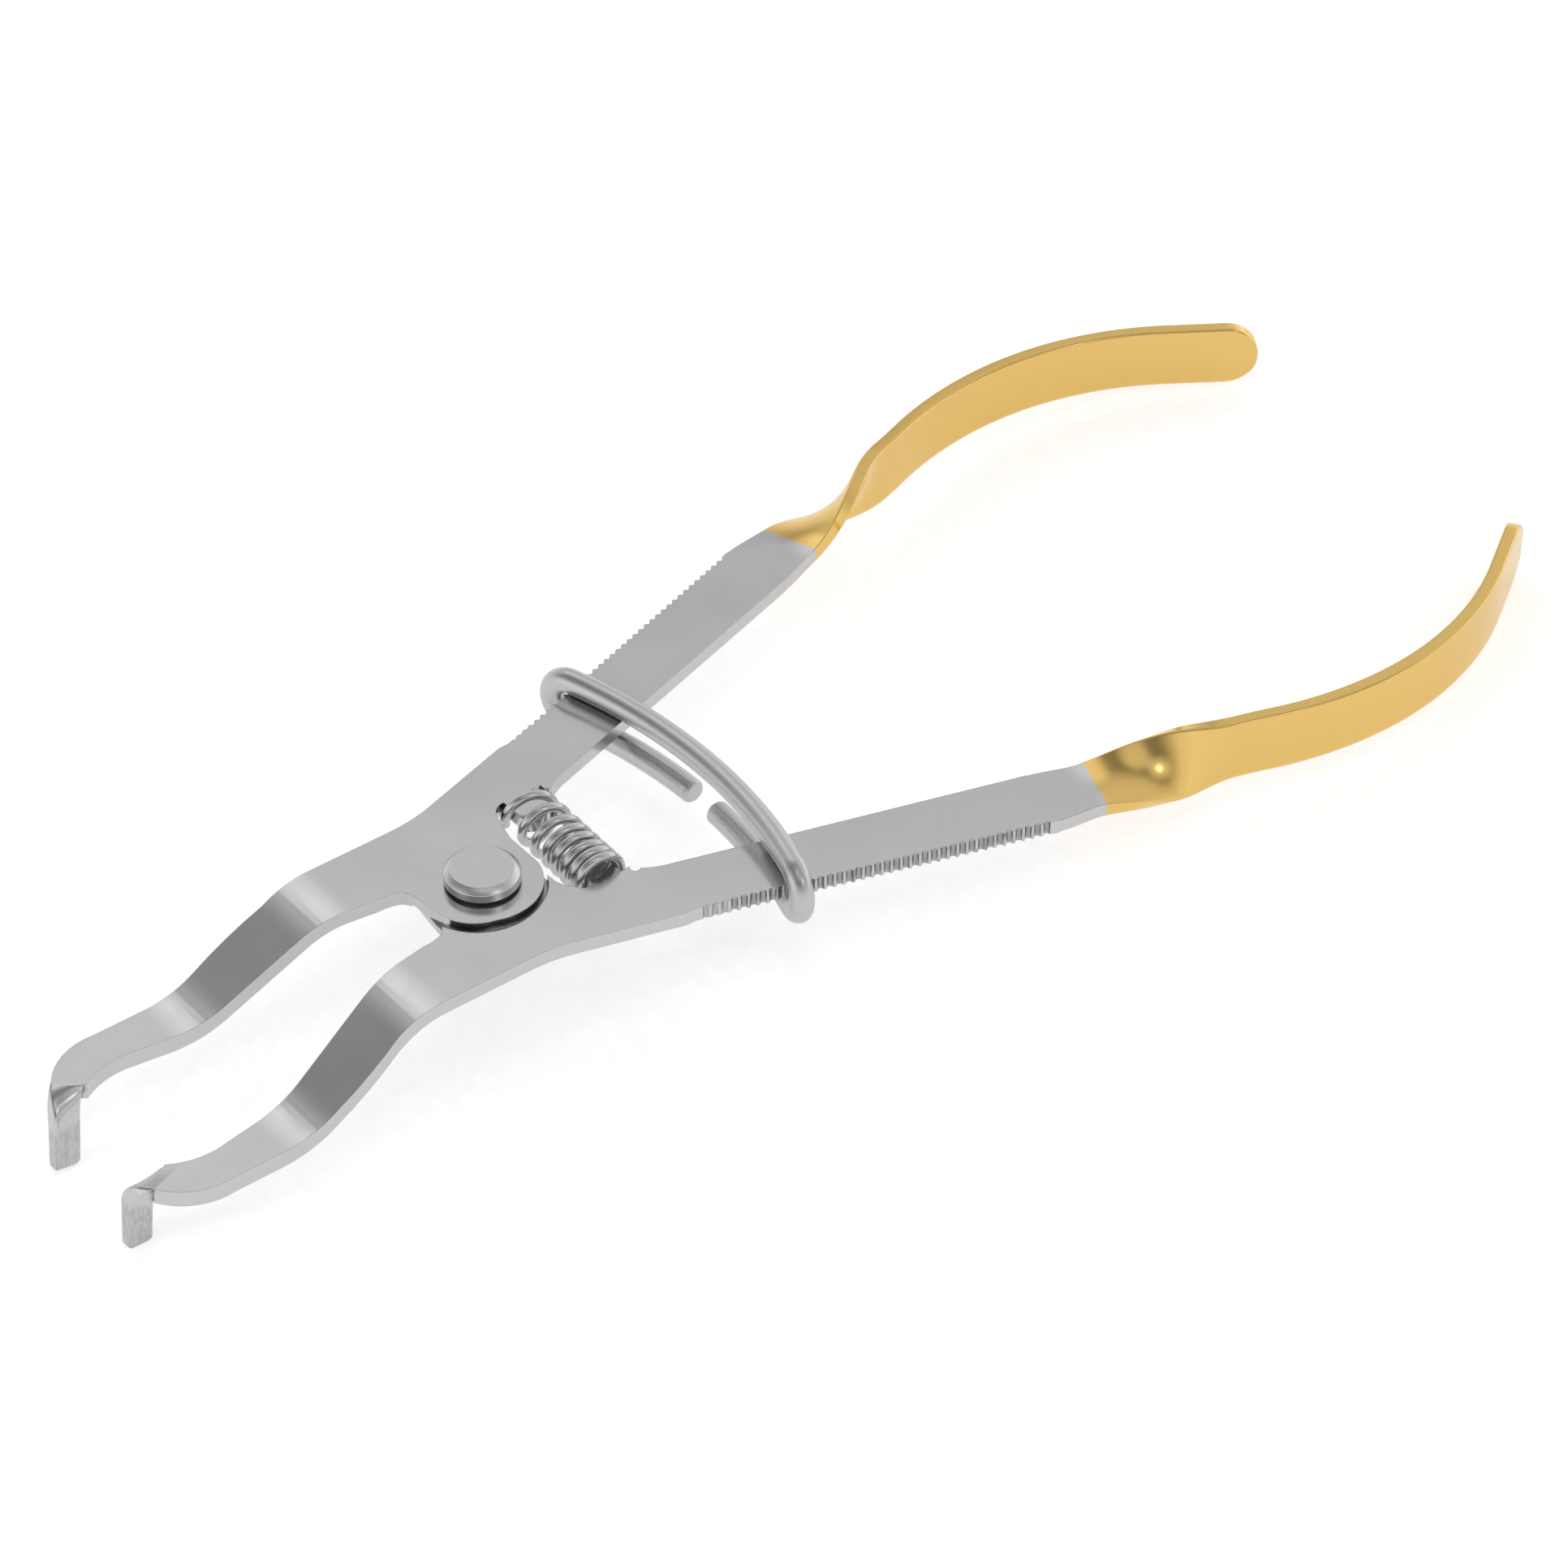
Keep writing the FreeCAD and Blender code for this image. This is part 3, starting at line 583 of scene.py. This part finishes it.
def ease_bends(piece, base):
    """Give the jaws' two bends the wide, soft curve that forging leaves."""
    select_only(piece)
    for vertex_x, radius, side in TOP_BENDS:
        reach = (radius + BEND_EASE + PLATE) * math.tan(BEND_ANGLE / 2)
        for step in range(BEND_CUTS + 1):
            x = vertex_x + reach * (1 - 2 * step / BEND_CUTS)
            bpy.ops.object.mode_set(mode="EDIT")
            bpy.ops.mesh.select_all(action="SELECT")
            bpy.ops.mesh.bisect(plane_co=(x, 0, 0), plane_no=(1, 0, 0))
            bpy.ops.object.mode_set(mode="OBJECT")
    for vertex in piece.data.vertices:
        x, z = vertex.co.x, vertex.co.z - base
        top = PLATE + profile_height(x, TOP_BENDS, 0.0)
        bends = TOP_BENDS if abs(z - top) < PLATE / 2 else UNDER_BENDS
        vertex.co.z += profile_height(x, bends, BEND_EASE) - profile_height(x, bends, 0.0)


def smooth(share):
    """A share from 0 to 1 with a soft start and end."""
    share = min(max(share, 0.0), 1.0)
    return share * share * (3 - 2 * share)


def handle_place(along):
    """Centre and heading of the handle's path at a distance along it from the shank."""
    x, y = HANDLE_ROOT
    heading = HANDLE_ANGLE
    for length, turn in HANDLE_STRETCHES:
        step = min(max(along, 0.0), length)
        swing = turn * step / length
        chord = step if abs(swing) < 1e-9 else 2 * step / swing * math.sin(swing / 2)
        x += chord * math.cos(heading + swing / 2)
        y += chord * math.sin(heading + swing / 2)
        heading += swing
        along -= length
    return x, y, heading


def handle_width(along):
    """The bar is drawn narrower where it is twisted."""
    drawn_in = (TWIST_WIDTH - ROOT_WIDTH) * smooth(along / WAIST_LENGTH)
    regained = smooth((along - WAIST_END) / (BLADE_START - WAIST_END))
    return ROOT_WIDTH + drawn_in + (BLADE_WIDTH - TWIST_WIDTH) * regained


def bar_section(width, turn, squeeze, flatten):
    """A flat bar's section with rounded corners, its outer edge on the +X side."""
    half = width / 2
    thick = PLATE / 2
    inner = ROOT_ROUND + (UPPER_ROUND - ROOT_ROUND) * turn
    outer = ROOT_ROUND + (LOWER_ROUND - ROOT_ROUND) * turn
    points = []
    for corner, (side_x, side_y, start) in enumerate(
        ((1, -1, -90), (1, 1, 0), (-1, 1, 90), (-1, -1, 180))
    ):
        radius = outer if side_x > 0 else inner
        for part in range(CORNER_PARTS + 1):
            angle = math.radians(start + 90 * part / CORNER_PARTS)
            x = side_x * (half - radius) + radius * math.cos(angle)
            y = side_y * (thick - radius) + radius * math.sin(angle)
            points.append((x, y))
        if corner in (1, 3):
            # the broad face from here to the next corner
            end_radius = inner if side_x > 0 else outer
            far_x = -side_x * (half - end_radius)
            for part in range(1, FACE_PARTS):
                points.append((x + (far_x - x) * part / FACE_PARTS, y))
    return [(x * squeeze, y * flatten) for x, y in points]


def handle_rows():
    """Distance along, width's squeeze and thickness's share for each row of the handle's mesh."""
    half = BLADE_WIDTH / 2
    straight = sum(length for length, turn in HANDLE_STRETCHES) - half
    count = int(straight / ROW_SPACING)
    rows = [(straight * index / count, 1.0, 1.0) for index in range(count)]
    edge = (UPPER_ROUND + LOWER_ROUND) / 2
    for part in range(END_PARTS + 1):
        angle = END_ANGLE * part / END_PARTS
        left = half * (1 - math.sin(angle))
        thick = PLATE / 2
        if left < edge:
            thick += math.sqrt(edge**2 - (edge - left) ** 2) - edge
        rows.append((straight + half * math.sin(angle), math.cos(angle), thick / (PLATE / 2)))
    return rows


def twisted_handle(name, side, base):
    """The handle as an even mesh: flat at the shank, twisted on edge and round at its end."""
    verts = []
    rows = handle_rows()
    for along, squeeze, flatten in rows:
        x, y, heading = handle_place(along)
        turn = smooth((along - TWIST_START) / TWIST_LENGTH)
        twist = TWIST_ANGLE * turn
        out = Vector((-math.sin(heading), side * math.cos(heading), 0))
        up = Vector((0, 0, 1))
        across = out * math.cos(twist) - up * math.sin(twist)
        through = up * math.cos(twist) + out * math.sin(twist)
        centre = Vector((x, side * y, base + PLATE / 2 + HANDLE_LIFT * turn))
        for u, v in bar_section(handle_width(along), turn, squeeze, flatten):
            verts.append(centre + across * u + through * v)
    ring = len(verts) // len(rows)
    faces = [tuple(range(ring)), tuple(range(len(verts) - ring, len(verts)))]
    for row in range(len(rows) - 1):
        for index in range(ring):
            after = (index + 1) % ring
            low = row * ring
            faces.append((low + index, low + after, low + ring + after, low + ring + index))
    mesh = bpy.data.meshes.new(name)
    mesh.from_pydata(verts, [], faces)
    handle = bpy.data.objects.new(name, mesh)
    bpy.context.scene.collection.objects.link(handle)
    select_only(handle)
    bpy.ops.object.mode_set(mode="EDIT")
    bpy.ops.mesh.select_all(action="SELECT")
    bpy.ops.mesh.normals_make_consistent(inside=False)
    bpy.ops.object.mode_set(mode="OBJECT")
    bpy.ops.object.shade_smooth()
    return handle


def fit_handle(piece, side, base):
    """Put the even mesh of the handle in the place of the arm's own from the shank's end on."""
    select_only(piece)
    bpy.ops.object.mode_set(mode="EDIT")
    bpy.ops.mesh.select_all(action="SELECT")
    bpy.ops.mesh.bisect(
        plane_co=(HANDLE_ROOT[0], side * HANDLE_ROOT[1], 0),
        plane_no=(math.cos(HANDLE_ANGLE), side * math.sin(HANDLE_ANGLE), 0),
        use_fill=True,
        clear_outer=True,
    )
    bpy.ops.object.mode_set(mode="OBJECT")
    handle = twisted_handle(piece.name + "_handle", side, base)
    select_only(piece)
    handle.select_set(True)
    bpy.ops.object.join()


class FORCEPS_OT_arms(bpy.types.Operator):
    """Dress the two formed arms, polished steel with gold plated handles"""

    bl_idname = "forceps.arms"
    bl_label = "Arms"

    def execute(self, context):
        settings = context.scene.forceps_sizes
        material = arm_material(settings)
        floor_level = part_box("lower_arm")[0].z
        for node, side in (("lower_arm", -1), ("upper_arm", 1)):
            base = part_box(node)[0].z - floor_level
            piece = dressed_copy(
                node,
                node + "_forging",
                settings.edge_round,
                material,
                lambda arm: ease_bends(arm, base),
                lambda arm: fit_handle(arm, side, base),
            )
            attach(piece, node)
            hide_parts(node)
        return {"FINISHED"}


class FORCEPS_OT_rivet(bpy.types.Operator):
    """Dress the turned rivet that joins the arms"""

    bl_idname = "forceps.rivet"
    bl_label = "Rivet"

    def execute(self, context):
        settings = context.scene.forceps_sizes
        piece = dressed_copy("pivot_pin", "rivet", settings.rivet_round, turned_material())
        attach(piece, "pivot_pin")
        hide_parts("pivot_pin")
        return {"FINISHED"}


class FORCEPS_OT_bow(bpy.types.Operator):
    """Dress the bent wire bow that locks the shanks"""

    bl_idname = "forceps.bow"
    bl_label = "Wire bow"

    def execute(self, context):
        settings = context.scene.forceps_sizes
        material = wire_material(settings, "satin_drawn_wire", 0.27, "A8A7A8", 0.16)
        piece = dressed_copy("lock_bow", "wire_bow", settings.rivet_round, material)
        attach(piece, "lock_bow")
        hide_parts("lock_bow")
        return {"FINISHED"}


def spring_rise(turn):
    """How far along its axis the spring has come after so many turns."""
    rise = 0.0
    for turns, pitch in SPRING_STRETCHES:
        rise += min(max(turn, 0.0), turns) * pitch
        turn -= turns
    return rise


class FORCEPS_OT_spring(bpy.types.Operator):
    """Wind the spring between the two pegs"""

    bl_idname = "forceps.spring"
    bl_label = "Spring"

    def execute(self, context):
        settings = context.scene.forceps_sizes
        start = Vector((SPRING_X, SPRING_START_Y, SPRING_START_Z))
        end = Vector((SPRING_X, SPRING_START_Y + spring_rise(SPRING_TURNS), SPRING_END_Z))
        axis = (end - start).normalized()
        across = Vector((1, 0, 0))
        over = axis.cross(across)
        curve = bpy.data.curves.new("spring_wire", "CURVE")
        curve.dimensions = "3D"
        curve.bevel_depth = settings.coil_wire / 2
        curve.bevel_resolution = 6
        curve.use_fill_caps = True
        curve.resolution_u = 3
        count = int(SPRING_TURNS * SPRING_POINTS_PER_TURN) + 1
        spline = curve.splines.new("NURBS")
        spline.points.add(count - 1)
        # the control polygon of a NURBS coil stands out a little from the coil that it makes
        step = 2 * math.pi * SPRING_TURNS / (count - 1)
        radius = settings.coil_radius * 3 / (2 + math.cos(step))
        for index, point in enumerate(spline.points):
            turn = SPRING_TURNS * index / (count - 1)
            angle = SPRING_START_ANGLE - 2 * math.pi * turn
            place = (
                start
                + across * radius * math.cos(angle)
                + over * radius * math.sin(angle)
                + axis * spring_rise(turn)
            )
            point.co = (*place, 1.0)
        spline.order_u = 4
        spline.use_endpoint_u = True
        piece = bpy.data.objects.new("coil_spring", curve)
        context.scene.collection.objects.link(piece)
        select_only(piece)
        bpy.ops.object.convert(target="MESH")
        piece = context.view_layer.objects.active
        bpy.ops.object.mode_set(mode="EDIT")
        bpy.ops.mesh.select_all(action="SELECT")
        bpy.ops.mesh.remove_doubles(threshold=MERGE_DISTANCE)
        bpy.ops.mesh.normals_make_consistent(inside=False)
        bpy.ops.object.mode_set(mode="OBJECT")
        bpy.ops.object.shade_smooth_by_angle(angle=WIRE_SMOOTH_ANGLE)
        material = wire_material(settings, "bright_spring_wire", 0.2, "A6A3A0", 0.06)
        give_material(piece, "spring", material)
        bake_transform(piece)
        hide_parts("spring")
        return {"FINISHED"}


def add_softbox(name, towards, width, height, radiance):
    """A soft light that stands in the direction towards and looks at the forceps. The room's own
    bright patch there is what polished metal shows, so its outline shows in no reflection."""
    lamp = bpy.data.lights.new(name, "AREA")
    lamp.shape = "RECTANGLE"
    lamp.size = width
    lamp.size_y = height
    lamp.energy = radiance * math.pi * width * height
    holder = bpy.data.objects.new(name, lamp)
    direction = Vector(towards).normalized()
    holder.location = Vector(SOFTBOX_TARGET) + direction * SOFTBOX_DISTANCE
    holder.rotation_euler = direction.to_track_quat("Z", "Y").to_euler()
    holder.visible_glossy = False
    bpy.context.scene.collection.objects.link(holder)


def room_patch(tree, direction, towards, near, far, strength):
    """A soft bright patch of the room: full within near degrees of towards, gone past far."""
    facing = add_node(
        tree,
        "ShaderNodeVectorMath",
        {"operation": "DOT_PRODUCT"},
        {0: direction, 1: Vector(towards).normalized()},
    ).outputs["Value"]
    return add_node(
        tree,
        "ShaderNodeMapRange",
        {"interpolation_type": "SMOOTHSTEP"},
        {
            "Value": facing,
            "From Min": math.cos(math.radians(far)),
            "From Max": math.cos(math.radians(near)),
            "To Max": strength,
        },
    ).outputs["Result"]


def light_room(scene):
    """A white room, pale at the horizon and dimmer overhead, with bright patches, and soft lamps:
    polished metal takes all its tones from these."""
    world = bpy.data.worlds.new("soft_room")
    world.use_nodes = True
    tree = world.node_tree
    tree.nodes.clear()
    direction = add_node(tree, "ShaderNodeTexCoord").outputs["Generated"]
    up = add_node(tree, "ShaderNodeSeparateXYZ", inputs={"Vector": direction}).outputs["Z"]
    tone = add_node(
        tree,
        "ShaderNodeMapRange",
        {"interpolation_type": "SMOOTHSTEP"},
        {
            "Value": up,
            "From Min": HORIZON_HEIGHT,
            "From Max": OVERHEAD_HEIGHT,
            "To Min": HORIZON_TONE,
            "To Max": OVERHEAD_TONE,
        },
    ).outputs["Result"]
    for patch in ROOM_PATCHES:
        glow = room_patch(tree, direction, *patch)
        total = add_node(tree, "ShaderNodeMath", {"operation": "ADD"}, {0: tone, 1: glow})
        tone = total.outputs["Value"]
    sky = add_node(tree, "ShaderNodeBackground", inputs={"Color": ROOM_COLOUR, "Strength": tone})
    output = add_node(tree, "ShaderNodeOutputWorld")
    tree.links.new(sky.outputs["Background"], output.inputs["Surface"])
    scene.world = world

    for softbox in SOFTBOXES:
        add_softbox(*softbox)


def lay_floor(stage):
    """A matt, faintly flecked white board under the tips and the handles."""
    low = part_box("lower_arm")[0]
    bpy.ops.object.select_all(action="DESELECT")
    bpy.ops.mesh.primitive_plane_add(size=FLOOR_SIZE, location=(FLOOR_X, 0, low.z - FLOOR_GAP))
    floor = bpy.context.active_object
    floor.name = "floor"
    floor.rotation_euler = (0, -math.atan(FLOOR_SLOPE), 0)
    material, tree, place = new_material("matt_white_board")
    fleck = grain(tree, place, (1, 1, 1), 1.5 * MM)
    colour = two_tone(tree, fleck, 1.0, stage.floor, "F2F2F2")
    light_path = add_node(tree, "ShaderNodeLightPath").outputs
    mirrored = add_node(
        tree,
        "ShaderNodeMath",
        {"operation": "MAXIMUM"},
        {0: light_path["Is Glossy Ray"], 1: light_path["Is Transmission Ray"]},
    ).outputs["Value"]
    dimmed = add_node(
        tree, "ShaderNodeMath", {"operation": "MULTIPLY"}, {0: mirrored, 1: FLOOR_MIRRORED}
    ).outputs["Value"]
    glow = add_node(
        tree,
        "ShaderNodeMath",
        {"operation": "MULTIPLY_ADD"},
        {0: light_path["Is Camera Ray"], 1: FLOOR_SEEN, 2: dimmed},
    ).outputs["Value"]
    board = add_node(
        tree,
        "ShaderNodeBsdfPrincipled",
        inputs={
            "Base Color": colour,
            "Roughness": 0.8,
            "Emission Color": colour,
            "Emission Strength": glow,
        },
    )
    close_material(tree, board.outputs["BSDF"])
    floor.data.materials.append(material)


class FORCEPS_OT_stage(bpy.types.Operator):
    """Lay the pale floor under the tips and the handles, and set the camera and the soft lights"""

    bl_idname = "forceps.stage"
    bl_label = "Stage"

    def execute(self, context):
        stage = context.scene.forceps_stage
        scene = context.scene
        lay_floor(stage)
        light_room(scene)

        lens = bpy.data.cameras.new("photo_camera")
        lens.sensor_width = 36.0
        lens.lens = stage.focal_length
        lens.clip_start = 0.01
        camera = bpy.data.objects.new("photo_camera", lens)
        camera.location = stage.camera_place
        camera.rotation_euler = (math.pi / 2 - stage.camera_pitch, 0, -stage.camera_heading)
        scene.collection.objects.link(camera)
        scene.camera = camera
        scene.view_settings.view_transform = "Standard"
        return {"FINISHED"}


class FORCEPS_PT_panel(bpy.types.Panel):
    """Lists the pieces of the forceps"""

    bl_idname = "FORCEPS_PT_panel"
    bl_label = "Ring forceps"
    bl_space_type = "VIEW_3D"
    bl_region_type = "UI"
    bl_category = "Forceps"

    def draw(self, context):
        settings = context.scene.forceps_sizes
        for name in ("edge_round", "rivet_round", "coil_wire", "coil_radius"):
            self.layout.prop(settings, name)
        for name in ("steel", "gold", "wire_steel"):
            self.layout.prop(settings, name)
        stage = context.scene.forceps_stage
        for name in ("focal_length", "camera_place", "camera_pitch", "camera_heading", "floor"):
            self.layout.prop(stage, name)
        for operator in OPERATORS:
            self.layout.operator(operator.bl_idname)


OPERATORS = (
    FORCEPS_OT_arms,
    FORCEPS_OT_rivet,
    FORCEPS_OT_bow,
    FORCEPS_OT_spring,
    FORCEPS_OT_stage,
)
CLASSES = (ForcepsSizes, StageSizes, *OPERATORS, FORCEPS_PT_panel)


def register():
    for item in CLASSES:
        bpy.utils.register_class(item)
    bpy.types.Scene.forceps_sizes = bpy.props.PointerProperty(type=ForcepsSizes)
    bpy.types.Scene.forceps_stage = bpy.props.PointerProperty(type=StageSizes)


def unregister():
    del bpy.types.Scene.forceps_stage
    del bpy.types.Scene.forceps_sizes
    for item in reversed(CLASSES):
        bpy.utils.unregister_class(item)


def main():
    register()
    bpy.ops.forceps.arms()
    bpy.ops.forceps.rivet()
    bpy.ops.forceps.bow()
    bpy.ops.forceps.spring()
    bpy.ops.forceps.stage()


if __name__ == "__main__":
    main()
